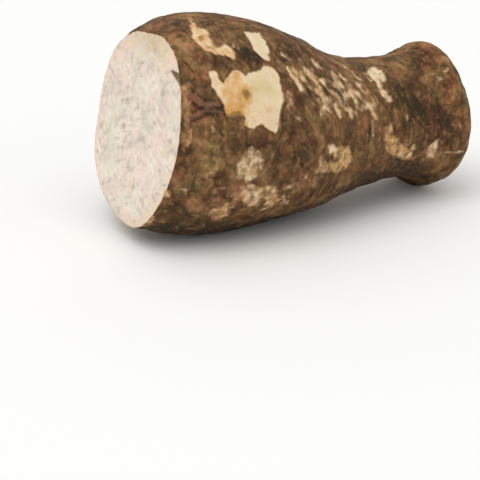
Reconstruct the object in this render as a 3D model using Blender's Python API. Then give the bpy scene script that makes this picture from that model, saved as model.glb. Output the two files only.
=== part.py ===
"""Arrowroot tuber: a thick root piece in bark, cut across at its wide end and lying on its side.

It lies along X. The flat cut faces -X and looks up a little, and a neck leads to the blunt knob at +X.
The origin is at the bottom, in the middle of the length and of the width. Units are metres, +Z is up.
"""

import bisect
import math

import bmesh
import bpy
from mathutils import Matrix, Vector, noise

MM = 0.001

# The form along the root, in mm: station (distance from the cut), radius, height of the middle
PROFILE = (
    (0, 36.0, 44.2),
    (14, 41.2, 43.7),
    (31, 42.2, 42.5),
    (50, 40.1, 40.7),
    (68, 35.4, 37.5),
    (85, 29.2, 34.5),
    (100, 26.0, 33.4),
    (110, 25.3, 33.4),
    (119, 25.4, 33.3),
    (128, 29.4, 33.6),
    (142, 33.8, 34.4),
)
STATIONS = [point[0] for point in PROFILE]
RADIUS = 1
MIDDLE = 2

# The cut face leans back at the top, which fades out along the root
CUT_LEAN = math.radians(10.7)
CUT_TURN = math.radians(-1.9)
LEAN_REACH = 50 * MM
CUT_FROM_ORIGIN = 66.8 * MM
SIDEWAYS = -0.14 * MM

# The blunt end, where the knob's side curves over to the tip
END_START = 124 * MM
END_TIP = 140.4 * MM
END_SQUARENESS = 2.6
CURVE_PER_DEPTH = 2.4
END_LEAN = math.radians(2.5)

# Swellings and hollows, in mm and degrees: station, turn, half length, half width, height.
# Turns start at the top and go by the -Y side, so 90 is -Y and 180 is underneath.
SWELLINGS = (
    (0, 38, 30, 22, 2.1),
    (0, 156, 30, 22, 2.4),
    (0, 232, 34, 24, 1.6),
    (0, 264, 24, 16, -1.2),
    (0, 309, 26, 20, 1.5),
    (0, 354, 18, 14, -1.4),
    (18, 340, 9, 20, -0.5),
    (60, 356, 46, 30, -0.5),
    (60, 230, 22, 28, 1.4),
    (84, 330, 16, 26, -0.8),
    (90, 356, 9, 24, -0.4),
    (104, 175, 9, 26, -0.9),
    (110, 262, 17, 44, 2.6),
    (118, 290, 20, 30, 1.2),
    (128, 206, 15, 34, 6.3),
    (130, 318, 7, 22, -2.0),
    (136, 62, 7, 30, -0.5),
)

# Scars where side roots broke off: station, turn, radius, height of the rim, depth of the middle
SCARS = (
    (48, 216, 7.5, 1.0, 1.5),
    (92, 256, 5.5, 0.8, 1.2),
    (70, 302, 6.5, 0.8, 1.2),
    (24, 292, 5.5, 0.7, 1.0),
    (126, 316, 5.0, 0.6, 1.0),
)
END_SCAR_RADIUS = 10 * MM
END_SCAR_DEPTH = 1.8 * MM
END_SCAR_RIM = 0.8 * MM

# Bark relief: how high each kind stands and how far apart its bumps are
BROAD_HEIGHT = 0.6 * MM
BROAD_SPACING = 26 * MM
WRINKLE_HEIGHT = 0.5 * MM
WRINKLE_SPACING = 8 * MM
WRINKLE_LENGTH = 34 * MM
BUMP_HEIGHT = 0.25 * MM
BUMP_SPACING = 9 * MM
RIM_FADE = 4 * MM

# The flat spots underneath are where the root would reach this far below the surface it lies on
SETTLE = 0.6 * MM

# The mesh
AROUND = 88
ALONG = 54
FACE_RINGS = 4

BARK_COLOUR = (0.19, 0.09, 0.04, 1.0)
FLESH_COLOUR = (0.76, 0.64, 0.54, 1.0)


def bell(distance, reach):
    """1 at no distance, falling smoothly to almost 0 at twice the reach."""
    return math.exp(-((distance / reach) ** 2))


def apart(turn, other):
    """The angle between two turns, in degrees."""
    return (turn - other + 180) % 360 - 180


def slope(index, column):
    """How steep the profile's column is at one of its points."""
    before = PROFILE[max(index - 1, 0)]
    after = PROFILE[min(index + 1, len(PROFILE) - 1)]
    return (after[column] - before[column]) / (after[0] - before[0])


def read_profile(station, column):
    """The profile's column at a station, both in mm, by a smooth curve through the points."""
    index = min(max(bisect.bisect_right(STATIONS, station) - 1, 0), len(PROFILE) - 2)
    start, end = PROFILE[index], PROFILE[index + 1]
    run = end[0] - start[0]
    t = min(max((station - start[0]) / run, 0), 1)
    from_start = (1 + 2 * t) * (1 - t) ** 2 * start[column] + t * (1 - t) ** 2 * run * slope(index, column)
    from_end = t * t * (3 - 2 * t) * end[column] - t * t * (1 - t) * run * slope(index + 1, column)
    return from_start + from_end


def end_share(station):
    """How much of the radius is left where the knob's end curves over."""
    over = min(max((station - END_START) / (END_TIP - END_START), 0), 1)
    return (1 - over**END_SQUARENESS) ** (1 / END_SQUARENESS)


def swelling(station, turn):
    """The height of the swellings and hollows, in mm."""
    height = 0
    for at, middle, half_length, half_width, top in SWELLINGS:
        height += top * bell(station - at, half_length) * bell(apart(turn, middle), half_width)
    return height


def scar_height(distance, radius, rim, depth):
    """A round scar: a hollow middle with a raised rim."""
    return rim * bell(distance - radius, radius * 0.35) - depth * bell(distance, radius * 0.7)


def scars(station, turn, radius):
    """The height of the scars on the side, in mm."""
    height = 0
    for at, middle, size, rim, depth in SCARS:
        sideways = math.radians(apart(turn, middle)) * radius
        height += scar_height(math.hypot(station - at, sideways), size, rim, depth)
    return height


def relief(station, turn, radius):
    """The bark's relief in metres, at a station and radius in metres and a turn in radians."""
    across = Vector((math.cos(turn), math.sin(turn), 0)) * radius
    place = Vector((station, across.x, across.y))
    broad = BROAD_HEIGHT * noise.noise(place / BROAD_SPACING)
    wrinkled = Vector((station / WRINKLE_SPACING, across.x / WRINKLE_LENGTH, across.y / WRINKLE_LENGTH))
    wrinkles = WRINKLE_HEIGHT * noise.noise(wrinkled)
    bumps = BUMP_HEIGHT * noise.noise(place / BUMP_SPACING + Vector((7, 3, 5)))
    return broad + (wrinkles + bumps) * min(station / RIM_FADE, 1)


def side_point(station, turn):
    """A point of the bark, by its distance from the cut in metres and its turn in radians."""
    full = read_profile(station / MM, RADIUS) * MM
    middle = read_profile(station / MM, MIDDLE) * MM
    degrees = math.degrees(turn)
    share = end_share(station)
    rise = (swelling(station / MM, degrees) + scars(station / MM, degrees, full / MM)) * MM
    radius = (full + rise + relief(station, turn, full)) * share
    y = -radius * math.sin(turn)
    up = radius * math.cos(turn)
    near_cut = max(1 - station / LEAN_REACH, 0) ** 2
    x = station + up * math.tan(CUT_LEAN) * near_cut
    y += up * math.tan(CUT_TURN) * near_cut
    x -= up * math.tan(END_LEAN) * (1 - near_cut)
    x += scar_height(radius, END_SCAR_RADIUS, END_SCAR_RIM, END_SCAR_DEPTH) * (1 - share) ** 2
    return Vector((x - CUT_FROM_ORIGIN, y - SIDEWAYS, middle + up - SETTLE))


def face_point(share, turn):
    """A point of the cut face, by its share of the way from the middle to the rim."""
    middle = Vector((0, 0, 0))
    for quarter in range(4):
        middle += side_point(0, quarter * math.pi / 2) / 4
    return middle.lerp(side_point(0, turn), share)


def station_at(share):
    """The station at a share of the way along the bark, from the rim of the cut to the tip."""
    curve = (END_TIP - END_START) * CURVE_PER_DEPTH
    way = share * (END_START + curve)
    if way <= END_START:
        return way
    return END_START + (END_TIP - END_START) * math.sin((way - END_START) / curve * math.pi / 2)


def make_form(mesh):
    """Shapes a sphere whose poles lie along X into the tuber: its first rings are the cut face."""
    shape = bmesh.new()
    bmesh.ops.create_uvsphere(shape, u_segments=AROUND, v_segments=ALONG + FACE_RINGS, radius=1)
    bmesh.ops.rotate(shape, verts=shape.verts, matrix=Matrix.Rotation(math.radians(-90), 3, "Y"))
    for vertex in shape.verts:
        ring = math.acos(max(min(-vertex.co.x, 1), -1)) / math.pi * (ALONG + FACE_RINGS)
        turn = math.atan2(-vertex.co.y, vertex.co.z)
        if ring <= FACE_RINGS:
            vertex.co = face_point(ring / FACE_RINGS, turn)
        else:
            vertex.co = side_point(station_at((ring - FACE_RINGS) / ALONG), turn)
        vertex.co.z = max(vertex.co.z, 0)
    bmesh.ops.triangulate(shape, faces=shape.faces)
    bmesh.ops.recalc_face_normals(shape, faces=shape.faces)
    shape.to_mesh(mesh)
    shape.free()


def make_material(name, colour, roughness):
    material = bpy.data.materials.new(name)
    material.diffuse_color = colour
    material.use_nodes = True
    shader = material.node_tree.nodes["Principled BSDF"]
    shader.inputs["Base Color"].default_value = colour
    shader.inputs["Roughness"].default_value = roughness
    shader.inputs["Metallic"].default_value = 0
    return material


def colour_faces(mesh):
    """Bark on the side and flesh on the cut."""
    mesh.materials.append(make_material("bark", BARK_COLOUR, 0.75))
    mesh.materials.append(make_material("flesh", FLESH_COLOUR, 0.6))
    cut_normal = Vector((-math.cos(CUT_LEAN), 0, math.sin(CUT_LEAN)))
    for face in mesh.polygons:
        on_cut = face.normal.dot(cut_normal) > 0.999 and face.center.x < -CUT_FROM_ORIGIN + 10 * MM
        face.material_index = 1 if on_cut else 0


def make_tuber(collection):
    mesh = bpy.data.meshes.new("tuber")
    make_form(mesh)
    colour_faces(mesh)
    mesh.shade_smooth()
    mesh.set_sharp_from_angle(angle=math.radians(40))
    tuber = bpy.data.objects.new("tuber", mesh)
    collection.objects.link(tuber)
    return tuber


def main():
    for thing in list(bpy.data.objects):
        bpy.data.objects.remove(thing)
    collection = bpy.data.collections.new("arrowroot_tuber")
    bpy.context.scene.collection.children.link(collection)
    make_tuber(collection)


main()
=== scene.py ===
"""Arrowroot tuber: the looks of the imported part, with its camera, light and floor.

Two finer pieces of the same form stand for the part's one solid and meet at the rim of its cut: the
bark, and the flesh of the cut face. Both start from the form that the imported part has, whose values
and formulas are repeated here. Fine relief is added along the surface, and what the bark is like at
each point goes with the mesh as named values that the materials read.

The tuber's sizes are in mm until its meshes are made, and the camera's and the floor's are in metres.
A place on the bark is a station, its distance from the cut in mm, and a turn in degrees: 0 is the top,
90 the -Y side and 180 underneath.
"""

import math

import bpy
import numpy as np
from mathutils import Matrix, Vector, noise


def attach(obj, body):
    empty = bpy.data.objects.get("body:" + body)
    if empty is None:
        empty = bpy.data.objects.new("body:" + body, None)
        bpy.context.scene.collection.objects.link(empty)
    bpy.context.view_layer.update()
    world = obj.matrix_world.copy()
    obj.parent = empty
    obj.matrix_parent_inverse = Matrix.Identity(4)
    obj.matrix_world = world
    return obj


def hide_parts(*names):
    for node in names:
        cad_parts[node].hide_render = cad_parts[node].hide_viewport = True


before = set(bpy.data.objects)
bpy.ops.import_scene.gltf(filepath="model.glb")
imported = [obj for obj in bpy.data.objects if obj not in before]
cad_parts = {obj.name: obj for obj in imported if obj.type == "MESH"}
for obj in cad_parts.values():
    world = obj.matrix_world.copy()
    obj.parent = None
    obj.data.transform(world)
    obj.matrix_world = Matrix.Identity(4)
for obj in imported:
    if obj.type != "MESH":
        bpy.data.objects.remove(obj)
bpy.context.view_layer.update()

MM = 0.001

# The form along the root, in mm: station, radius, height of the middle
PROFILE = np.array((
    (0, 36.0, 44.2),
    (14, 41.2, 43.7),
    (31, 42.2, 42.5),
    (50, 40.1, 40.7),
    (68, 35.4, 37.5),
    (85, 29.2, 34.5),
    (100, 26.0, 33.4),
    (110, 25.3, 33.4),
    (119, 25.4, 33.3),
    (128, 29.4, 33.6),
    (142, 33.8, 34.4),
))
RADIUS = 1
MIDDLE = 2

# The cut, in mm and radians
CUT_LEAN = math.radians(10.7)
CUT_TURN = math.radians(-1.9)
LEAN_REACH = 50
CUT_FROM_ORIGIN = 66.8
SIDEWAYS = -0.14

# The blunt end, in mm
END_START = 124
END_TIP = 140.4
END_SQUARENESS = 2.6
CURVE_PER_DEPTH = 2.4
END_LEAN = math.radians(2.5)

# Swellings and hollows of the form: station, turn, half length, half width, height
SWELLINGS = (
    (0, 38, 30, 22, 2.1),
    (0, 156, 30, 22, 2.4),
    (0, 232, 34, 24, 1.6),
    (0, 264, 24, 16, -1.2),
    (0, 309, 26, 20, 1.5),
    (0, 354, 18, 14, -1.4),
    (18, 340, 9, 20, -0.5),
    (60, 356, 46, 30, -0.5),
    (60, 230, 22, 28, 1.4),
    (84, 330, 16, 26, -0.8),
    (90, 356, 9, 24, -0.4),
    (104, 175, 9, 26, -0.9),
    (110, 262, 17, 44, 2.6),
    (118, 290, 20, 30, 1.2),
    (128, 206, 15, 34, 6.3),
    (130, 318, 7, 22, -2.0),
    (136, 62, 7, 30, -0.5),
)

# Scars of side roots: station, turn, radius, height of the rim, depth of the middle
SCARS = (
    (48, 216, 7.5, 1.0, 1.5),
    (92, 256, 5.5, 0.8, 1.2),
    (70, 302, 6.5, 0.8, 1.2),
    (24, 292, 5.5, 0.7, 1.0),
    (126, 316, 5.0, 0.6, 1.0),
)
END_SCAR_RADIUS = 10
END_SCAR_DEPTH = 1.8
END_SCAR_RIM = 0.8

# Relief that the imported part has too, in mm
BROAD_HEIGHT = 0.6
BROAD_SPACING = 26
WRINKLE_HEIGHT = 0.5
WRINKLE_SPACING = 8
WRINKLE_LENGTH = 34
BUMP_HEIGHT = 0.25
BUMP_SPACING = 9
RIM_FADE = 4

# The flat spots underneath, in mm: how far the root would reach below the floor there, and how high
# above the floor the fine relief is whole again
SETTLE = 0.6
FLAT_FADE = 0.8

# The fine meshes
AROUND = 400
BARK_RINGS = 240
FLESH_RINGS = 50

# Fine relief that only these meshes have: height and spacing of its bumps in mm, shift of its noise
BARK_BUMPS = (
    (0.13, (3.4, 8, 8), 4),
    (0.2, 4.6, 23),
    (0.04, 1.6, 8),
)
FLESH_BUMPS = (
    (0.35, 17, 2),
    (0.18, (9, 3, 5), 6),
    (0.09, (3, 1.1, 2.6), 19),
)
FLESH_SINK = 0.1
SCRAPE_DEPTH = 0.32
FLAKE_HEIGHT = 0.16
RIM_TEAR_DEPTH = 0.4

# Folds and cracks lie where their noise is near 0: spacing in mm, shift, share of the full depth
CREASES = (
    ((9, 20, 20), 51, 0.8),
    ((7, 8, 8), 77, 0.5),
)
CREASE_WIDTH = 0.04
CREASE_DEPTH = 0.35

# The ripples in the scars: height in mm, and radians per mm in a side root's scar and in the end's
RIPPLE_HEIGHT = 0.25
SCAR_RIPPLE = 2.4
END_RIPPLE = 2.2

# How much darker the bark is beside a vein, in a side root's scar, in the end's scar and around it,
# and how much painted shade darkens creases and hollows, and how deep a hollow is where it is darkest, in
# mm
VEIN_SHADE = 1.6
SCAR_SHADE = 0.7
END_SCAR_SHADE = 1.4
END_RING_SHADE = 1.2
CREASE_SHADE = 0.7
HOLLOW_SHADE = 0.5
HOLLOW_DEPTH = 0.5

# A distance that is too far to matter, and the least radius that the bark is taken to have, in mm
FAR_AWAY = 999.0
LEAST_RADIUS = 0.5

# The ragged edges of scraped patches, and how far the tones of neighbours run together, in mm
RAG_WIDTH = 0.5
RAG_SPACING = 5
RAG_FINE_SPACING = 1.6
TONE_SPREAD = 0.7

# Scraped patches by their outlines: solidness, tone from pale to ochre, redness, corners
PATCHES = (
    (1.2, 0.5, 0.1, ((13, 17), (17, 21), (20, 25), (18, 30), (18, 34), (20, 36), (24, 35), (27, 38),
        (26, 45), (22, 43), (16, 41), (13, 38), (11, 34), (10, 29), (11, 23))),
    (1.6, 0.15, 0, ((37, 25), (45, 24), (45, 37), (42, 45), (39, 43), (37, 39), (37, 32))),
    (1.7, 0.25, 0, ((12, 49), (16, 50), (16, 54), (18, 56), (21, 52), (23, 50), (27, 51), (29, 53),
        (34, 51), (38, 48), (42, 47), (44, 52), (44, 59), (43, 66), (41, 72), (39, 79), (37, 83),
        (34, 81), (31, 78), (28, 80), (24, 78), (24, 74), (21, 73), (17, 74), (16, 68), (14, 63),
        (12, 57), (12, 53))),
    (1.0, 0.2, 0, ((97, 20), (102, 18), (104, 29), (101, 40), (96, 40), (94, 30))),
    (0.8, 0.2, 0, ((62, 90), (66, 90), (68, 94), (65, 97), (63, 96))),
    (0.55, 0.8, -0.4, ((66, 91), (75, 93), (76, 102), (73, 109), (68, 111), (63, 109), (60, 104),
        (65, 100))),
    (0.5, 0.4, 0.4, ((58, 98), (61, 100), (62, 109), (56, 108))),
    (0.6, 0.8, 0.4, ((94, 79), (98, 79), (99, 90), (103, 98), (108, 108), (111, 120), (106, 117),
        (98, 107), (94, 97), (93, 88))),
    (0.5, 1.0, -0.4, ((17, 70), (25, 70), (24, 78), (21, 84), (17, 80))),
    (-0.2, 1.1, 0.9, ((15, 111), (24, 109), (27, 117), (22, 124), (15, 121))),
    (0.0, 1.1, -0.5, ((8, 86), (14, 85), (15, 96), (13, 108), (9, 106))),
    (0.7, 0.4, 0.5, ((116, 110), (118, 101), (120, 99), (121, 109), (120, 120), (117, 119))),
    (0.5, 0.35, -0.3, ((21, 97), (23, 92), (27, 89), (31, 92), (32, 99), (30, 106), (26, 109),
        (22, 104))),
    (0.65, 0.5, 0.4, ((23, 110), (28, 109), (33, 112), (35, 120), (33, 127), (29, 126), (25, 119))),
    (0.55, 0.6, -0.1, ((34, 111), (38, 112), (42, 122), (41, 129), (36, 127))),
    (0.5, 0.7, 0.5, ((15, 127), (18, 123), (23, 123), (23, 131), (18, 134))),
)

# Patches on the sides that the camera doesn't see, in the same form
HIDDEN_PATCHES = (
    (1.2, 0.4, 0.2, ((22, 196), (27, 190), (35, 193), (37, 202), (42, 209), (38, 216), (31, 211),
        (27, 215), (22, 207))),
    (0.6, 0.7, -0.3, ((36, 198), (45, 197), (49, 206), (44, 214), (38, 210))),
    (1.3, 0.3, 0, ((58, 262), (64, 258), (67, 265), (65, 275), (69, 284), (64, 288), (60, 279),
        (56, 272))),
    (0.5, 0.9, 0.1, ((62, 284), (70, 280), (76, 287), (74, 298), (67, 301), (63, 294))),
    (0.6, 0.5, 0.4, ((14, 326), (20, 318), (27, 321), (28, 331), (24, 338), (17, 336))),
    (1.0, 0.3, 0.1, ((34, 312), (37, 306), (40, 308), (41, 320), (38, 327), (35, 322))),
    (0.5, 0.6, 0.2, ((93, 220), (101, 214), (108, 221), (106, 236), (99, 241), (94, 233))),
    (1.1, 0.3, 0.2, ((117, 246), (121, 240), (124, 247), (123, 260), (119, 263), (117, 256))),
    (0.5, 0.5, 0.3, ((132, 150), (136, 140), (138.5, 155), (138, 175), (134, 170))),
)

# Scraped streaks: half width, solidness, tone, redness, ends and bends
STREAKS = (
    (0.8, 0.9, 0.5, 0.3, ((17, 8), (14, 23))),
    (0.5, 0.4, 0.4, 0.3, ((29, 34), (26, 39))),
    (0.5, 0.4, 0.4, 0.3, ((32, 33), (29, 38))),
    (0.5, 0.6, 0.7, 0.9, ((41, 43), (39, 47))),
    (1.0, 0.6, 0.6, 0.1, ((19, 73), (18, 79))),
    (1.0, 0.6, 0.8, 0.1, ((22, 73), (20, 81))),
    (0.5, 0.5, 0.6, 0.1, ((16, 74), (17, 90))),
    (0.8, 0.6, 0.4, 0.5, ((46, 62), (46, 68))),
    (0.6, 0.5, 0.4, 0.5, ((45, 68), (45, 72))),
    (0.8, 0.6, 0.4, 0.5, ((50, 40), (53, 42))),
    (1.3, 1.0, 0.4, 0.3, ((50, 49), (53, 59))),
    (1.6, 0.8, 0.5, 0.2, ((59, 46), (62, 53), (62, 60), (64, 66))),
    (1.2, 0.4, 0.8, 0.1, ((55, 49), (57, 56))),
    (1.3, 0.8, 0.4, 0, ((65, 63), (60, 73))),
    (1.2, 0.8, 0.4, 0, ((67, 64), (70, 72))),
    (1.4, 0.6, 0.4, 0.2, ((74, 51), (75, 59))),
    (1.5, 0.6, 0.5, 0.1, ((75, 58), (80, 54), (84, 55))),
    (1.5, 0.6, 0.4, 0.2, ((80, 48), (81, 60))),
    (1.0, 0.6, 0.5, 0, ((76, 66), (77, 72))),
    (1.2, 0.8, 0.4, 0.1, ((84, 65), (88, 63))),
    (1.2, 0.8, 0.4, 0.1, ((88, 63), (90, 71))),
    (1.2, 0.6, 0.5, 0, ((83, 24), (86, 31), (88, 39))),
    (0.8, 0.6, 0.4, 0.1, ((93, 32), (94, 39))),
    (1.6, 1.0, 0.3, 0.2, ((98, 36), (97, 44), (99, 56))),
    (1.0, 0.5, 0.6, 0.4, ((90, 51), (91, 60))),
    (0.6, 0.5, 0.3, -0.2, ((47, 75), (49, 76))),
    (0.6, 0.5, 0.4, 0.1, ((56, 65), (57, 67))),
    (0.4, 0.4, 0.4, -0.3, ((88, 75), (88, 86))),
    (0.8, 0.9, 0.5, 0.5, ((100, 94), (101, 95))),
    (0.8, 0.8, 0.4, 0.4, ((100, 102), (105, 111))),
    (0.9, 0.9, 0.3, 0.3, ((108, 116), (109, 104))),
    (0.6, 0.9, 0.4, -0.4, ((124, 112), (131, 111))),
    (0.8, 1.0, 0.4, 0.6, ((128, 87), (128.4, 88))),
    (0.6, 0.7, 0.4, 0.1, ((127, 42), (130, 40))),
    (0.5, 0.5, 0.3, 0, ((124, 45), (124, 47))),
    (0.5, 0.5, 0.4, 0, ((119, 53), (119, 55))),
    (0.6, 0.5, 0.2, 0.1, ((106, 74), (106, 77))),
    (0.5, 0.6, 0.2, -0.2, ((25, 97), (26, 93), (28, 92), (30, 95), (29, 98))),
    (0.7, 0.6, 0.4, 0.3, ((22, 104), (26, 107))),
    (0.9, 0.4, 0.5, 0.3, ((43, 115), (48, 114))),
    (0.7, 0.4, 0.5, 0.3, ((51, 111), (53, 108))),
    (0.7, 0.5, 0.3, 0.1, ((43, 122), (47, 129))),
    (0.8, 0.6, 0.5, 0.5, ((20, 123), (24, 119))),
    (0.8, 0.8, 0.5, 0.4, ((0, 116), (1, 119))),
    (0.7, 0.6, 0.8, 0.6, ((0, 138), (1, 150))),
    (0.5, 0.5, 0.3, 0.1, ((3, 113), (5, 113))),
    (1.4, 0.25, 1.0, 0.5, ((2, 55), (2, 64), (3, 74), (2, 84))),
    (0.6, 0.6, 0.4, 0.8, ((2, 73), (2, 75))),
    (0.6, 0.4, 0.4, 0.4, ((12, 75), (12, 79))),
    (0.8, 0.6, 0.5, 0.3, ((8, 1), (10, 3))),
    (0.6, 0.5, 0.3, 0, ((36, 130), (45, 127))),
)

# Stains inside the patches: station, turn, half length, half width, tone, redness, cover taken
STAINS = (
    (18, 66, 4, 9, 0.4, 0.1, 0),
    (23.5, 66, 4, 7, 0.6, -0.1, 0),
    (24, 54, 5, 5, 0.4, 0.2, 0),
    (36, 60, 6, 8, -0.1, -0.9, 0),
    (36, 77, 6, 5, 0.0, 0.7, 0),
    (14, 55, 3, 6, 0.0, 0.5, 0),
    (43, 62, 2, 12, 0.0, 0.4, 0),
    (20, 76, 4, 5, 0.5, 0, 1.4),
    (14, 30, 1.6, 2.6, 0.7, -0.2, 1.2),
    (27, 63, 2.0, 3.0, 0.8, -0.4, 1.6),
    (67, 101, 1.2, 2.0, 0.5, 0, 0.6),
)

# Where the bark is redder (below 0: more olive) and darker, with painted shade underneath: station, turn,
# half length, half width
TINTS_AND_PAINTED_SHADE = (
    (22, 29, 4, 6, -0.3, 0.6),
    (34, 41, 6, 6, -0.8, 0.9),
    (8, 10, 8, 22, 0.5, -0.2),
    (7, 45, 4, 8, 0.5, 0.2),
    (6, 68, 5, 20, 0.4, -0.3),
    (50, 66, 4, 8, 0.6, 0.8),
    (26, 86, 6, 5, 0.7, 0.1),
    # This row and the next darken the underside: painted shade
    (95, 146, 22, 22, 0, 2.4),
    (40, 152, 44, 11, -0.3, 1.5),
    (30, 133, 16, 7, 0.3, -0.5),
    (12, 95, 7, 14, -0.3, 0),
    (20, 116, 7, 9, 1.3, 0.5),
    (128, 10, 6, 30, 1.0, 0),
    (106, 60, 7, 15, -0.3, 0.6),
    (122, 88, 8, 25, 0.4, 0.1),
    (97, 90, 5, 14, 0.6, 0),
    (48, 122, 8, 9, 0.2, 0.4),
    (2, 140, 3, 14, 0.7, -0.1),
    (118, 75, 12, 30, 0.2, 1.0),
    (46, 90, 11, 12, 0, 0.4),
    (60, -34, 60, 14, -0.5, 0.9),
    (139, 70, 3, 70, -0.4, 1.2),
    # These two rows darken the underside too: painted shade
    (60, 172, 60, 24, -0.1, 2.0),
    (8, 150, 12, 14, 0, 1.2),
)

# Raised veins: half width, height, ends and bends
VEINS = (
    (0.9, 0.5, ((3, 58), (7, 64), (10, 67), (14, 67))),
    (0.8, 0.45, ((3, 72), (7, 70), (10, 69))),
    (0.7, 0.4, ((10, 69), (15, 71))),
    (0.6, 0.2, ((18, 20), (26, 15))),
)

# The nick where bark was torn into the cut: its corners as turns and mm from the rim, and its depth
NICK = ((35.5, 6.8), (43, 2.0), (46, -0.6), (58, -0.6), (47, 4.0), (40, 6.6))
NICK_DEPTH = 1.0

# Tints of the flesh near its rim: turn, mm from the rim, half width in degrees, half depth in mm, and
# how tan, yellow and pink it is
RIM_TINTS = (
    (5, 2.0, 38, 7, 0.8, 0, 0.1),
    (21, 3.5, 10, 3, 0, 0.7, 0),
    (33, 4, 8, 4, 0, 0, 1.0),
    (62, 0.8, 18, 1.4, 0.2, 0.5, 0.4),
    (128, 1.5, 26, 4, 0.3, 0.45, 0.5),
    (165, 1, 16, 3, 0.6, 0, 0.4),
    (250, 0.5, 40, 2, 0.1, 0, 0.8),
    (315, 3, 20, 5, 0.2, 0, 0.7),
)

# The middle of the turns that the camera sees, and how far they reach to each side
SEEN_MIDDLE = 66
SEEN_REACH = 92

# The marks on the other sides: strength, spacing in mm and shift of their noise
BLOTCHES = (
    (1, (16, 12, 12), 61),
    (0.3, 5, 17),
)
SCUFFS = (
    (1, (9, 14, 14), 70),
    (0.6, (2.6, 6, 6), 33),
)

# The streak net on the neck: station, turn, half length, half width
NET = (74, 54, 24, 18)
NET_SLANT = math.radians(52)

# Its streaks: strength, spacing in mm down, across and out of the bark, shift of the noise
NET_STREAKS = (
    (1, (8.5, 4.2, 1), 3),
    (0.45, (4.2, 2.8, 1), 8),
)

# Screen colours from 0 to 255. Plain, reddish and olive bark have one for each of these shades.
SHADES = (0.28, 0.42, 0.52, 0.66)
BROWN_BARK = ((58, 40, 23), (90, 63, 36), (119, 85, 50), (158, 122, 80))
RED_BARK = ((66, 38, 23), (104, 62, 38), (136, 85, 53), (176, 124, 88))
OLIVE_BARK = ((46, 40, 21), (80, 66, 34), (106, 88, 48), (144, 122, 74))
PALE_STREAK = (162, 122, 78)
PALE_FLECK = (176, 140, 104)
VEIN_BROWN = (116, 80, 66)
PATCH_EDGE = (64, 44, 26)

# The colours of a scraped patch from its palest tone to its darkest, and what tints them
TONES = (0.0, 0.25, 0.5, 0.8, 1.0)
SCRAPED = ((232, 216, 180), (232, 206, 166), (222, 178, 126), (204, 152, 80), (150, 112, 58))
SCRAPED_PINK = (226, 180, 146)
SCRAPED_OLIVE = (200, 186, 124)
SCRAPED_THIN = (172, 130, 84)

# The colours of the flesh from its darkest marks to its palest, and what tints them
MARKS = (0.34, 0.46, 0.54, 0.66)
FLESH = ((188, 173, 156), (219, 203, 187), (230, 215, 200), (243, 231, 218))
FLESH_WARM = (236, 212, 200)
FLESH_GREENISH = (218, 215, 194)
FLESH_GREY = (210, 199, 194)
RIM_EDGE = (200, 162, 124)
TORN_BROWN = (122, 96, 62)
SPECK = (160, 150, 122)

# What tints the flesh near its rim: the name of its values on the mesh, its colour, how much at most
RIM_COLOURS = (
    ("tan", (208, 182, 146), 0.85),
    ("pink", (240, 208, 190), 0.8),
    ("yellow", (224, 212, 166), 0.8),
)

# The camera: what it looks at, from how far, and its angles to the left of -Y and above the floor
TARGET = Vector((-0.0230, -0.0006, -0.0092))
DISTANCE = 0.62
TO_THE_LEFT = math.radians(27.74)
ABOVE = math.radians(20.26)
LENS = 116.25
SENSOR = 36
NEAREST = 0.01

# The light: where the key comes from along the camera's axes, how wide it is, and the strengths
KEY_BACK = 0.75
KEY_LEFT = 0.35
KEY_UP = 0.75
KEY_WIDTH = math.radians(50)
KEY_STRENGTH = 1.1
EVEN_STRENGTH = 0.72

# The floor: its screen colour, and how far it reaches to each side of the middle
FLOOR_COLOUR = (252, 252, 250)
FLOOR_ROUGHNESS = 0.9
FLOOR_REACH = 4


def bell(distance, reach):
    """1 at no distance, falling smoothly to almost 0 at twice the reach."""
    return np.exp(-((distance / reach) ** 2))


def apart(turn, other):
    """The angle between turns, in degrees."""
    return (turn - other + 180) % 360 - 180


def ramp(value, start, end):
    """0 at the start, 1 at the end and smooth between them."""
    share = np.clip((value - start) / (end - start), 0, 1)
    return share * share * (3 - 2 * share)


def spot_at(station, turn, at, middle, half_length, half_width):
    """1 in the middle of a spot on the bark, falling smoothly to almost 0 at twice its half sizes."""
    return bell(station - at, half_length) * bell(apart(turn, middle), half_width)


def from_place(station, turn, radius, at, middle):
    """The distance along the bark from one place on it, in mm."""
    return np.hypot(station - at, np.radians(apart(turn, middle)) * radius)


def noise_at(places, spacing, shift=0):
    """Smooth noise from about -1 to 1 at places in mm; the spacing is one value or one for each axis."""
    scaled = places / np.array(spacing) + shift
    return np.array([noise.noise(place) for place in scaled.tolist()])


def bumps_at(places, kinds):
    """The sum of kinds of bumps at places in mm, each a height, a spacing and a shift of its noise."""
    return sum(height * noise_at(places, spacing, shift) for height, spacing, shift in kinds)


def read_profile(station, column):
    """The profile's column at stations, by a smooth curve through the points."""
    at = PROFILE[:, 0]
    value = PROFILE[:, column]
    before = np.maximum(np.arange(len(at)) - 1, 0)
    after = np.minimum(np.arange(len(at)) + 1, len(at) - 1)
    steep = (value[after] - value[before]) / (at[after] - at[before])
    index = np.clip(np.searchsorted(at, station, side="right") - 1, 0, len(at) - 2)
    run = at[index + 1] - at[index]
    t = np.clip((station - at[index]) / run, 0, 1)
    from_start = (1 + 2 * t) * (1 - t) ** 2 * value[index] + t * (1 - t) ** 2 * run * steep[index]
    from_end = t * t * (3 - 2 * t) * value[index + 1] - t * t * (1 - t) * run * steep[index + 1]
    return from_start + from_end


def end_share(station):
    """How much of the radius is left where the knob's end curves over."""
    over = np.clip((station - END_START) / (END_TIP - END_START), 0, 1)
    return (1 - over**END_SQUARENESS) ** (1 / END_SQUARENESS)


def scar_height(distance, radius, rim, depth):
    """A round scar: a hollow middle with a raised rim."""
    return rim * bell(distance - radius, radius * 0.35) - depth * bell(distance, radius * 0.7)


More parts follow.
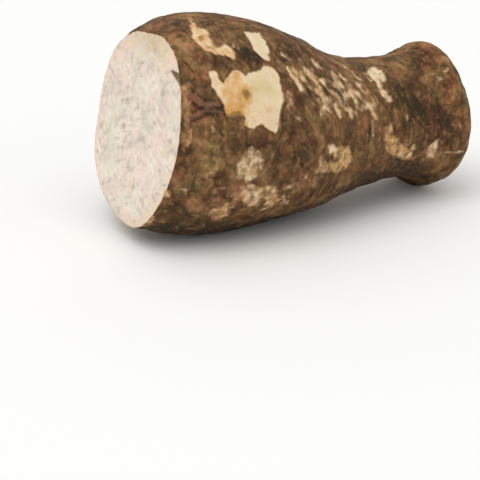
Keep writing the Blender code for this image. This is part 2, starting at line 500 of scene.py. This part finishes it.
def wrapped(station, turn, radius):
    """Places for noise, in mm, on a straight rod of this radius."""
    angle = np.radians(turn)
    return np.stack((station, np.cos(angle) * radius, np.sin(angle) * radius), axis=1)


def form_relief(station, turn, radius):
    """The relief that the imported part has."""
    places = wrapped(station, turn, radius)
    broad = BROAD_HEIGHT * noise_at(places, BROAD_SPACING)
    wrinkles = WRINKLE_HEIGHT * noise_at(places, (WRINKLE_SPACING, WRINKLE_LENGTH, WRINKLE_LENGTH))
    bumps = BUMP_HEIGHT * noise_at(places, BUMP_SPACING, np.array((7, 3, 5)))
    return broad + (wrinkles + bumps) * np.minimum(station / RIM_FADE, 1)


def form_places(station, turn):
    """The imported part's surface at stations and turns, in mm."""
    full = read_profile(station, RADIUS)
    share = end_share(station)
    rise = form_relief(station, turn, full)
    for *spot, top in SWELLINGS:
        rise += top * spot_at(station, turn, *spot)
    for at, middle, size, rim, depth in SCARS:
        rise += scar_height(from_place(station, turn, full, at, middle), size, rim, depth)
    radius = (full + rise) * share
    angle = np.radians(turn)
    up = radius * np.cos(angle)
    near_cut = np.maximum(1 - station / LEAN_REACH, 0) ** 2
    x = station + up * math.tan(CUT_LEAN) * near_cut - up * math.tan(END_LEAN) * (1 - near_cut)
    x += scar_height(radius, END_SCAR_RADIUS, END_SCAR_RIM, END_SCAR_DEPTH) * (1 - share) ** 2
    y = -radius * np.sin(angle) + up * math.tan(CUT_TURN) * near_cut
    z = read_profile(station, MIDDLE) + up - SETTLE
    return np.stack((x - CUT_FROM_ORIGIN, y - SIDEWAYS, np.maximum(z, 0)), axis=1)


def station_at(share):
    """The station at a share of the way along the bark, from the rim of the cut to the tip."""
    curve = (END_TIP - END_START) * CURVE_PER_DEPTH
    way = share * (END_START + curve)
    over = np.clip((way - END_START) / curve, 0, 1)
    bent = END_START + (END_TIP - END_START) * np.sin(over * math.pi / 2)
    return np.where(way <= END_START, way, bent)


def from_line(points, turn, height, scale):
    """The distance in mm from a line through points of turn and height, a degree being scale mm."""
    nearest = np.full(len(turn), FAR_AWAY)
    for (start_turn, start), (end_turn, end) in zip(points, points[1:]):
        way_turn = (end_turn - start_turn) * scale
        way = end - start
        over_turn = (turn - start_turn) * scale
        over = height - start
        share = np.clip((over_turn * way_turn + over * way) / (way_turn**2 + way**2 + 1e-6), 0, 1)
        nearest = np.minimum(nearest, np.hypot(over_turn - share * way_turn, over - share * way))
    return nearest


def inside_corners(corners, turn, height, scale):
    """How far inside an outline of turns and heights each point is, in mm; below 0 is outside."""
    ends = corners[1:] + corners[:1]
    edge = from_line(corners + corners[:1], turn, height, scale)
    within = np.zeros(len(turn), dtype=bool)
    for (start_turn, start), (end_turn, end) in zip(corners, ends):
        if start_turn != end_turn:
            between = (turn >= start_turn) != (turn >= end_turn)
            crossing = start + (turn - start_turn) / (end_turn - start_turn) * (end - start)
            within ^= between & (height < crossing)
    return np.where(within, edge, -edge)


class Skin:
    """The bark's points, and what it is like at each of them.

    bare is above 0 inside a scraped patch, and tone goes from pale to ochre there. red is above 0 where
    the bark is redder and below 0 where it is more olive. dark, vein and crease are 0 on plain bark.
    """

    def __init__(self):
        ring, column = np.divmod(np.arange(BARK_RINGS * AROUND + 1), AROUND)
        self.station = station_at(ring / BARK_RINGS)
        self.turn = column * 360 / AROUND
        full = read_profile(self.station, RADIUS)
        self.radius = np.maximum(full * end_share(self.station), LEAST_RADIUS)
        self.places = wrapped(self.station, self.turn, self.radius)
        self.form = form_places(self.station, self.turn)
        self.ragged_station = self.station + self.rag(0)
        self.ragged_turn = self.turn + np.degrees(self.rag(40) / self.radius)
        self.bare = np.full(len(self.station), -9.0)
        self.tone = np.zeros(len(self.station))
        self.red = np.zeros(len(self.station))
        self.dark = np.zeros(len(self.station))
        self.vein = np.zeros(len(self.station))
        self.crease = np.zeros(len(self.station))
        self.weight = np.full(len(self.station), 1e-9)

    def rag(self, shift):
        """How far the edges of the patches wander, in mm."""
        slow = noise_at(self.places, RAG_SPACING, shift)
        quick = noise_at(self.places, RAG_FINE_SPACING, shift + 9)
        return RAG_WIDTH * (slow + quick)

    def laid_flat(self, points):
        """The points, and the bark's turns from the first of them, stations and mm per degree."""
        middle = points[0][1]
        points = [(apart(turn, middle), station) for station, turn in points]
        return points, apart(self.ragged_turn, middle), self.ragged_station, np.radians(self.radius)

    def from_line(self, points):
        """The distance from a line through the points, in mm."""
        return from_line(*self.laid_flat(points))

    def inside(self, corners):
        """How far inside an outline each point is, in mm; below 0 is outside."""
        return inside_corners(*self.laid_flat(corners))

    def scrape(self, depth, solid, tone, red):
        """Bares the bark where the depth in mm is above 0, and blends in the tone and redness there.

        A solid patch has clear edges, and a faint one, whose solidness is below 1, is mottled.
        """
        strength = np.where(depth > 0, solid, max(solid, 1))
        self.bare = np.maximum(self.bare, np.minimum(depth, 1) * strength)
        weight = np.exp(np.clip(depth, -8, 2) / TONE_SPREAD)
        self.tone += weight * tone
        self.red += weight * red
        self.weight += weight

    def scrape_named(self):
        """The patches and streaks that the tables list."""
        for solid, tone, red, corners in PATCHES + HIDDEN_PATCHES:
            self.scrape(self.inside(corners), solid, tone, red)
        uneven = 1.15 + 0.6 * noise_at(self.places, 2.6, 90)
        for half_width, solid, tone, red, points in STREAKS:
            self.scrape(half_width * uneven - self.from_line(points), solid, tone, red)

    def scrape_net(self):
        """The net of slanting streaks on the neck."""
        at, middle, _, _ = NET
        along = self.ragged_station - at
        arc = np.radians(apart(self.ragged_turn, middle)) * self.radius
        down = along * math.cos(NET_SLANT) + arc * math.sin(NET_SLANT)
        across = arc * math.cos(NET_SLANT) - along * math.sin(NET_SLANT)
        zone = spot_at(self.station, self.turn, *NET)
        slanting = np.stack((down, across, np.zeros(len(down))), axis=1)
        streaks = bumps_at(slanting, NET_STREAKS)
        outside = 3 * (1 - ramp(zone, 0.1, 0.6))
        self.scrape((streaks - 0.02) * 3.4 - outside, solid=0.8, tone=0.45, red=0.15)

    def scrape_hidden(self):
        """Patches and streaks of the same kind on the sides that the camera doesn't see."""
        hidden = ramp(np.abs(apart(self.turn, SEEN_MIDDLE)), SEEN_REACH, SEEN_REACH + 14)
        hidden = np.maximum(hidden, ramp(self.station, END_TIP - 4, END_TIP - 1))
        away = 6 * (1 - hidden)
        tone = np.clip(0.5 + noise_at(self.places, 7, 5), 0, 1)
        red = 0.9 * noise_at(self.places, 9, 87)
        blotches = bumps_at(self.places, BLOTCHES)
        blotches -= 0.5 + 0.6 * ramp(self.station, END_START - 6, END_START + 4)
        self.scrape(blotches * 8 - away, solid=0.9, tone=tone, red=red)
        scuffs = bumps_at(self.places, SCUFFS)
        self.scrape((scuffs - 0.36) * 5 - away, solid=0.4, tone=0.6, red=red)

    def stain(self):
        """The ochre and dark spots in the patches, and the redder and darker bark, with painted shade
        underneath.
        """
        self.tone /= self.weight
        self.red /= self.weight
        self.red *= ramp(self.bare, -1.5, 0)
        for *place, tone, red, taken in STAINS:
            spot = spot_at(self.ragged_station, self.ragged_turn, *place)
            self.tone += tone * spot
            self.red += red * spot * ramp(self.bare, -0.5, 0.5)
            self.bare -= taken * spot
        for *place, red, dark in TINTS_AND_PAINTED_SHADE:
            spot = spot_at(self.station, self.turn, *place)
            outside = 1 - ramp(self.bare, -0.5, 0.5)
            self.red += red * spot * outside
            self.dark += dark * spot

    def raise_bark(self):
        """The height in mm of wrinkles and lumps, less folds, cracks and what is scraped off."""
        scraped = ramp(self.bare, -0.1, 0.8)
        for spacing, shift, share in CREASES:
            self.crease += share * bell(noise_at(self.places, spacing, shift), CREASE_WIDTH)
        self.crease *= (1 - 0.8 * scraped) * ramp(self.station, 0, 2)
        rough = bumps_at(self.places, BARK_BUMPS) * (1 - 0.55 * scraped)
        flaked = FLAKE_HEIGHT * bell(self.bare + 0.5, 0.45)
        return rough - CREASE_DEPTH * self.crease - SCRAPE_DEPTH * scraped + flaked

    def raise_veins(self):
        """The height in mm of the veins, each between two shallow dark hollows."""
        height = np.zeros(len(self.station))
        for half_width, rise, points in VEINS:
            distance = self.from_line(points)
            height += rise * bell(distance, half_width)
            height -= 0.3 * rise * bell(distance - 2 * half_width, half_width)
            self.dark += VEIN_SHADE * bell(distance - 1.8 * half_width, 0.6 * half_width)
            self.vein = np.maximum(self.vein, bell(distance, half_width))
        return height

    def raise_scars(self):
        """The height in mm of the round ripples in the side roots' scars and in the end's scar."""
        height = np.zeros(len(self.station))
        for at, middle, size, _, _ in SCARS:
            distance = from_place(self.station, self.turn, self.radius, at, middle)
            height += RIPPLE_HEIGHT * np.cos(distance * SCAR_RIPPLE) * bell(distance, size * 0.8)
            self.dark += SCAR_SHADE * bell(distance, size * 0.6)
        to_axis = np.where(self.station < END_START, FAR_AWAY, self.radius)
        height += RIPPLE_HEIGHT * np.cos(to_axis * END_RIPPLE) * bell(to_axis, END_SCAR_RADIUS * 0.9)
        self.dark += END_SCAR_SHADE * bell(to_axis, END_SCAR_RADIUS * 0.7)
        self.dark += END_RING_SHADE * bell(to_axis - END_SCAR_RADIUS * 1.1, END_SCAR_RADIUS * 0.12)
        return height

    def fine_relief(self):
        """The height in mm of all the fine relief, which fades out towards the flat spots."""
        height = self.raise_bark() + self.raise_veins() + self.raise_scars()
        torn = np.minimum(noise_at(self.places, 2.2, 14) - 0.1, 0)
        height += RIM_TEAR_DEPTH * torn * bell(self.station, 1.2)
        return height * ramp(self.form[:, 2], 0, FLAT_FADE)


def make_piece(name, places, faces, values):
    """A smooth mesh of places in mm that rides with the part, with its named values."""
    mesh = bpy.data.meshes.new(name)
    mesh.from_pydata((places * MM).tolist(), [], faces)
    mesh.shade_smooth()
    for key, numbers in values.items():
        layer = mesh.attributes.new(key, "FLOAT", "POINT")
        layer.data.foreach_set("value", numbers.astype(np.float32))
    piece = bpy.data.objects.new(name, mesh)
    bpy.context.scene.collection.objects.link(piece)
    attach(piece, "root")
    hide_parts("tuber")
    return piece


def ring_faces(first, rings):
    """Faces between rings of points, in an order that turns them outwards."""
    faces = []
    for ring in range(rings - 1):
        start = first + ring * AROUND
        after = start + AROUND
        for column in range(AROUND):
            beside = (column + 1) % AROUND
            faces.append((start + column, start + beside, after + beside, after + column))
    return faces


def outward(places, faces):
    """The direction in which the surface looks at each point."""
    mesh = bpy.data.meshes.new("form")
    mesh.from_pydata(places.tolist(), [], faces)
    normals = np.empty(len(places) * 3)
    mesh.vertex_normals.foreach_get("vector", normals)
    bpy.data.meshes.remove(mesh)
    return normals.reshape(-1, 3)


def make_bark():
    """The bark, from the rim of the cut to the tip of the knob."""
    skin = Skin()
    skin.scrape_named()
    skin.scrape_net()
    skin.scrape_hidden()
    skin.stain()
    height = skin.fine_relief()
    faces = ring_faces(0, BARK_RINGS)
    tip = BARK_RINGS * AROUND
    last = tip - AROUND
    for column in range(AROUND):
        faces.append((last + column, last + (column + 1) % AROUND, tip))
    direction = outward(skin.form, faces)
    middle = skin.form[:AROUND].mean(axis=0)
    in_cut = skin.form[:AROUND] - middle
    in_cut /= np.linalg.norm(in_cut, axis=1, keepdims=True)
    direction[:AROUND] = in_cut
    places = skin.form + direction * height[:, None]
    places[:, 2] = np.maximum(places[:, 2], 0)
    # Painted shade: the hollows and creases of the fine relief are made darker through the dark value
    hollow = np.clip(-height / HOLLOW_DEPTH, 0, 1) * (1 - ramp(skin.bare, -0.5, 0.2))
    values = {
        "bare": skin.bare,
        "tone": skin.tone,
        "red": skin.red,
        "dark": skin.dark + HOLLOW_SHADE * hollow + CREASE_SHADE * skin.crease,
        "vein": skin.vein,
    }
    bark = make_piece("tuber_bark", places, faces, values)
    return bark, places[:AROUND]


def make_flesh(rim):
    """The flesh of the cut face, from its middle to the bark's rim."""
    middle = rim.mean(axis=0)
    across = np.cross(rim[0] - middle, rim[AROUND // 4] - middle)
    direction = across / np.linalg.norm(across)
    if direction[0] > 0:
        direction = -direction
    share = np.repeat(np.arange(1, FLESH_RINGS + 1) / FLESH_RINGS, AROUND)
    turn = np.tile(np.arange(AROUND) * 360 / AROUND, FLESH_RINGS)
    spread = np.tile(rim - middle, (FLESH_RINGS, 1))
    places = middle + spread * share[:, None]
    places = np.vstack((middle, places))
    share = np.concatenate(((0,), share))
    turn = np.concatenate(((0,), turn))
    reach = np.linalg.norm(np.vstack((rim[0] - middle, spread)), axis=1)
    border = (1 - share) * reach
    uneven = bumps_at(places, FLESH_BUMPS) - FLESH_SINK
    torn = ramp(inside_corners(NICK, apart(turn, 0), border, np.radians(reach)), 0, 0.7)
    height = uneven * ramp(border, 0, 2) - NICK_DEPTH * torn * ramp(border, 0, 1.2)
    places = places + direction * height[:, None]
    faces = ring_faces(1, FLESH_RINGS)
    for column in range(AROUND):
        faces.append((0, 1 + (column + 1) % AROUND, 1 + column))
    tints = np.zeros((3, len(turn)))
    for at, depth, half_width, half_depth, *amounts in RIM_TINTS:
        spot = bell(apart(turn, at), half_width) * bell(border - depth, half_depth)
        tints += np.outer(amounts, spot)
    values = {"border": border, "tan": tints[0], "yellow": tints[1], "pink": tints[2], "torn": torn}
    return make_piece("tuber_flesh", places, faces, values)


def linear(colour):
    """A colour given as screen values from 0 to 255, as the light it stands for."""
    share = [value / 255 for value in colour]
    light = [value / 12.92 if value <= 0.04045 else ((value + 0.055) / 1.055) ** 2.4 for value in share]
    return (*light, 1.0)


class Look:
    """A procedural material that is put together from short steps."""

    def __init__(self, name, specular):
        self.material = bpy.data.materials.new(name)
        self.material.use_nodes = True
        self.tree = self.material.node_tree
        self.shader = self.tree.nodes["Principled BSDF"]
        self.shader.inputs["Specular IOR Level"].default_value = specular
        self.coordinates = self.tree.nodes.new("ShaderNodeTexCoord").outputs["Object"]

    def link(self, value, socket):
        """Joins an output to a socket, or sets the socket to a plain value."""
        if isinstance(value, bpy.types.NodeSocket):
            self.tree.links.new(value, socket)
        else:
            socket.default_value = value

    def named(self, name):
        """A value that goes with the mesh."""
        node = self.tree.nodes.new("ShaderNodeAttribute")
        node.attribute_name = name
        return node.outputs["Fac"]

    def noise(self, size, detail, shift, turned=0):
        """Noise from 0 to 1 whose bumps have these sizes in mm along X, Y and Z, turned about X."""
        place = self.tree.nodes.new("ShaderNodeMapping")
        place.inputs["Rotation"].default_value = (turned, 0, 0)
        self.tree.links.new(self.coordinates, place.inputs["Vector"])
        stretch = self.tree.nodes.new("ShaderNodeMapping")
        stretch.inputs["Scale"].default_value = [1 / (value * MM) for value in size]
        stretch.inputs["Location"].default_value = (shift, shift, shift)
        self.tree.links.new(place.outputs["Vector"], stretch.inputs["Vector"])
        node = self.tree.nodes.new("ShaderNodeTexNoise")
        node.inputs["Scale"].default_value = 1.0
        node.inputs["Detail"].default_value = detail
        self.tree.links.new(stretch.outputs["Vector"], node.inputs["Vector"])
        return node.outputs["Fac"]

    def sum(self, *terms):
        """A sum of values, where a pair is a value and what to multiply it by."""
        total = None
        for term in terms:
            if isinstance(term, tuple):
                term = self.work("MULTIPLY", *term)
            total = term if total is None else self.work("ADD", total, term)
        return total

    def work(self, operation, first, second):
        """One step of arithmetic with two values."""
        node = self.tree.nodes.new("ShaderNodeMath")
        node.operation = operation
        self.link(first, node.inputs[0])
        self.link(second, node.inputs[1])
        return node.outputs[0]

    def step(self, value, start, end, low=0.0, high=1.0):
        """A smooth step of a value, from low at the start to high at the end."""
        node = self.tree.nodes.new("ShaderNodeMapRange")
        node.interpolation_type = "SMOOTHSTEP"
        self.link(value, node.inputs["Value"])
        node.inputs["From Min"].default_value = start
        node.inputs["From Max"].default_value = end
        node.inputs["To Min"].default_value = low
        node.inputs["To Max"].default_value = high
        return node.outputs["Result"]

    def colours(self, value, wheres, colours):
        """Screen colours along a value, each with its own place on it."""
        node = self.tree.nodes.new("ShaderNodeValToRGB")
        stops = node.color_ramp.elements
        while len(stops) < len(colours):
            stops.new(0.5)
        for stop, where, colour in zip(stops, wheres, colours):
            stop.position = where
            stop.color = linear(colour)
        self.link(value, node.inputs["Fac"])
        return node.outputs["Color"]

    def mix(self, share, under, over):
        """One colour over another, as far as the share says."""
        node = self.tree.nodes.new("ShaderNodeMix")
        node.data_type = "RGBA"
        first, second = (socket for socket in node.inputs if socket.type == "RGBA")
        self.link(share, node.inputs["Factor"])
        self.link(under, first)
        self.link(over, second)
        return next(socket for socket in node.outputs if socket.type == "RGBA")

    def tint(self, under, over, most, value, start, end):
        """A screen colour over another colour: none of it at the value's start, the most at its end."""
        return self.mix(self.step(value, start, end, 0, most), under, linear(over))

    def finish(self, colour, roughness, height, depth):
        """Joins the steps to the shader, with bumps that are this deep in mm."""
        bump = self.tree.nodes.new("ShaderNodeBump")
        bump.inputs["Distance"].default_value = depth * MM
        self.link(height, bump.inputs["Height"])
        self.link(colour, self.shader.inputs["Base Color"])
        self.link(roughness, self.shader.inputs["Roughness"])
        self.link(bump.outputs["Normal"], self.shader.inputs["Normal"])
        return self.material


def bark_material():
    """Mottled brown bark, reddish and olive in places, with scraped cream and tan patches."""
    look = Look("bark", specular=0.25)
    grain = look.noise((0.3, 0.5, 0.5), detail=1, shift=5)
    mottle = look.noise((1.6, 2.1, 2.1), detail=1, shift=1)
    blotch = look.noise((4.0, 5.0, 5.0), detail=2, shift=9)
    broad = look.noise((11, 13, 13), detail=1, shift=18)
    hue = look.noise((5.5, 6.5, 6.5), detail=1, shift=14)
    dark = look.named("dark")
    # The dark value darkens the bark: its dark marks, veins and scars, and painted shade in creases,
    # hollows and underneath
    shade = look.sum((grain, 0.1), (mottle, 0.26), (blotch, 0.48), (broad, 0.4), (dark, -0.13), -0.125)
    brown = look.colours(shade, SHADES, BROWN_BARK)
    red = look.colours(shade, SHADES, RED_BARK)
    olive = look.colours(shade, SHADES, OLIVE_BARK)
    redness = look.sum((look.named("red"), 0.55), (hue, 2.6), -1.3)
    colour = look.mix(look.step(redness, 0.05, 0.9), brown, red)
    colour = look.mix(look.step(redness, -0.05, -0.9), colour, olive)
    streaks = look.noise((2.6, 3.6, 3.6), detail=1, shift=21)
    colour = look.tint(colour, PALE_STREAK, 0.4, streaks, 0.56, 0.74)
    flecks = look.noise((1.6, 2.0, 2.0), detail=1, shift=33)
    colour = look.tint(colour, PALE_FLECK, 0.3, flecks, 0.62, 0.8)
    colour = look.tint(colour, VEIN_BROWN, 0.7, look.named("vein"), 0.2, 1.0)
    crumbs = look.noise((2.4, 2.8, 2.8), detail=2, shift=50)
    bare = look.sum(look.named("bare"), (crumbs, 3.0), (grain, 0.4), -1.7)
    colour = look.tint(colour, PATCH_EDGE, 0.25, bare, -1.2, -0.3)
    stain = look.noise((3, 3.6, 3.6), detail=2, shift=44)
    tone = look.sum((look.named("tone"), 0.8), (stain, 1.0), (mottle, 0.5), -0.75)
    redder = look.sum(look.named("red"), (hue, 1.0), -0.5)
    cream = look.colours(tone, TONES, SCRAPED)
    cream = look.tint(cream, SCRAPED_PINK, 0.5, redder, 0.1, 1.0)
    cream = look.tint(cream, SCRAPED_OLIVE, 0.5, redder, -0.1, -1.0)
    cream = look.tint(cream, SCRAPED_THIN, 0.65, bare, 1.1, 0.1)
    scraped = look.step(bare, -0.6, 1.2)
    colour = look.mix(scraped, colour, cream)
    roughness = look.sum((scraped, -0.18), (grain, 0.12), 0.74)
    height = look.sum((mottle, 0.6), (grain, 0.2), (scraped, -0.25))
    return look.finish(colour, roughness, height, depth=0.14)


def flesh_material():
    """Pale starchy flesh with short fibre marks, tinted near its rim and dark in the nick."""
    look = Look("flesh", specular=0.3)
    rising = look.noise((3, 8, 1.6), detail=1, shift=2, turned=math.radians(18))
    falling = look.noise((3, 6, 1.8), detail=1, shift=40, turned=math.radians(-24))
    upright = look.noise((3, 3.2, 3.4), detail=1, shift=7)
    area = look.noise((9, 16, 12), detail=0, shift=60)
    clouds = look.noise((9, 15, 9), detail=1, shift=12)
    warmth = look.noise((9, 12, 11), detail=1, shift=71)
    share = look.step(area, 0.4, 0.6)
    strokes = look.sum(rising, look.work("MULTIPLY", share, look.sum(falling, (rising, -1))))
    marks = look.sum((strokes, 0.45), (upright, 0.5), (clouds, 0.3), -0.125)
    colour = look.colours(marks, MARKS, FLESH)
    colour = look.tint(colour, FLESH_WARM, 0.55, warmth, 0.5, 0.7)
    colour = look.tint(colour, FLESH_GREENISH, 0.5, warmth, 0.5, 0.3)
    colour = look.tint(colour, FLESH_GREY, 0.35, clouds, 0.5, 0.3)
    uneven = look.sum((rising, 1.2), (upright, 1.2), -1.2)
    for name, near_rim, most in RIM_COLOURS:
        colour = look.tint(colour, near_rim, most, look.sum(look.named(name), uneven), 0.1, 0.9)
    edge = look.sum(look.named("border"), (uneven, 0.5))
    colour = look.tint(colour, RIM_EDGE, 0.6, edge, 0.6, 0.1)
    colour = look.tint(colour, TORN_BROWN, 1, look.named("torn"), 0.2, 0.8)
    specks = look.noise((2, 1.6, 1.6), detail=1, shift=27)
    colour = look.tint(colour, SPECK, 0.4, specks, 0.66, 0.76)
    roughness = look.sum((marks, 0.2), 0.5)
    return look.finish(colour, roughness, marks, depth=0.2)


def plain_material(name, colour, roughness):
    look = Look(name, specular=0.2)
    look.link(linear(colour), look.shader.inputs["Base Color"])
    look.link(roughness, look.shader.inputs["Roughness"])
    return look.material


def camera_axes():
    """The camera's right, up and backward directions."""
    back = Vector((
        -math.sin(TO_THE_LEFT) * math.cos(ABOVE),
        -math.cos(TO_THE_LEFT) * math.cos(ABOVE),
        math.sin(ABOVE),
    ))
    right = Vector((math.cos(TO_THE_LEFT), -math.sin(TO_THE_LEFT), 0))
    return right, back.cross(right), back


def make_camera():
    camera = bpy.data.objects.new("camera", bpy.data.cameras.new("camera"))
    camera.data.lens = LENS
    camera.data.sensor_width = SENSOR
    camera.data.clip_start = NEAREST
    right, up, back = camera_axes()
    camera.matrix_world = Matrix((right, up, back)).transposed().to_4x4()
    camera.location = TARGET + back * DISTANCE
    bpy.context.scene.collection.objects.link(camera)
    bpy.context.scene.camera = camera


def make_light():
    """A wide soft key from the upper left of the camera, and even light from all around."""
    right, up, back = camera_axes()
    lamp = bpy.data.lights.new("key", "SUN")
    lamp.angle = KEY_WIDTH
    lamp.energy = KEY_STRENGTH
    key = bpy.data.objects.new("key", lamp)
    towards = back * KEY_BACK - right * KEY_LEFT + up * KEY_UP
    key.rotation_euler = towards.to_track_quat("Z", "Y").to_euler()
    bpy.context.scene.collection.objects.link(key)
    world = bpy.data.worlds.new("studio")
    world.use_nodes = True
    background = world.node_tree.nodes["Background"]
    background.inputs["Color"].default_value = (1, 1, 1, 1)
    background.inputs["Strength"].default_value = EVEN_STRENGTH
    bpy.context.scene.world = world
    bpy.context.scene.view_settings.view_transform = "Standard"


def make_floor():
    """The flat square that the tuber lies on."""
    mesh = bpy.data.meshes.new("floor")
    far = FLOOR_REACH
    mesh.from_pydata([(-far, -far, 0), (far, -far, 0), (far, far, 0), (-far, far, 0)], [], [(0, 1, 2, 3)])
    mesh.materials.append(plain_material("floor", FLOOR_COLOUR, FLOOR_ROUGHNESS))
    floor = bpy.data.objects.new("floor", mesh)
    bpy.context.scene.collection.objects.link(floor)


make_camera()
make_light()
make_floor()
bark, rim = make_bark()
bark.data.materials.append(bark_material())
flesh = make_flesh(rim)
flesh.data.materials.append(flesh_material())
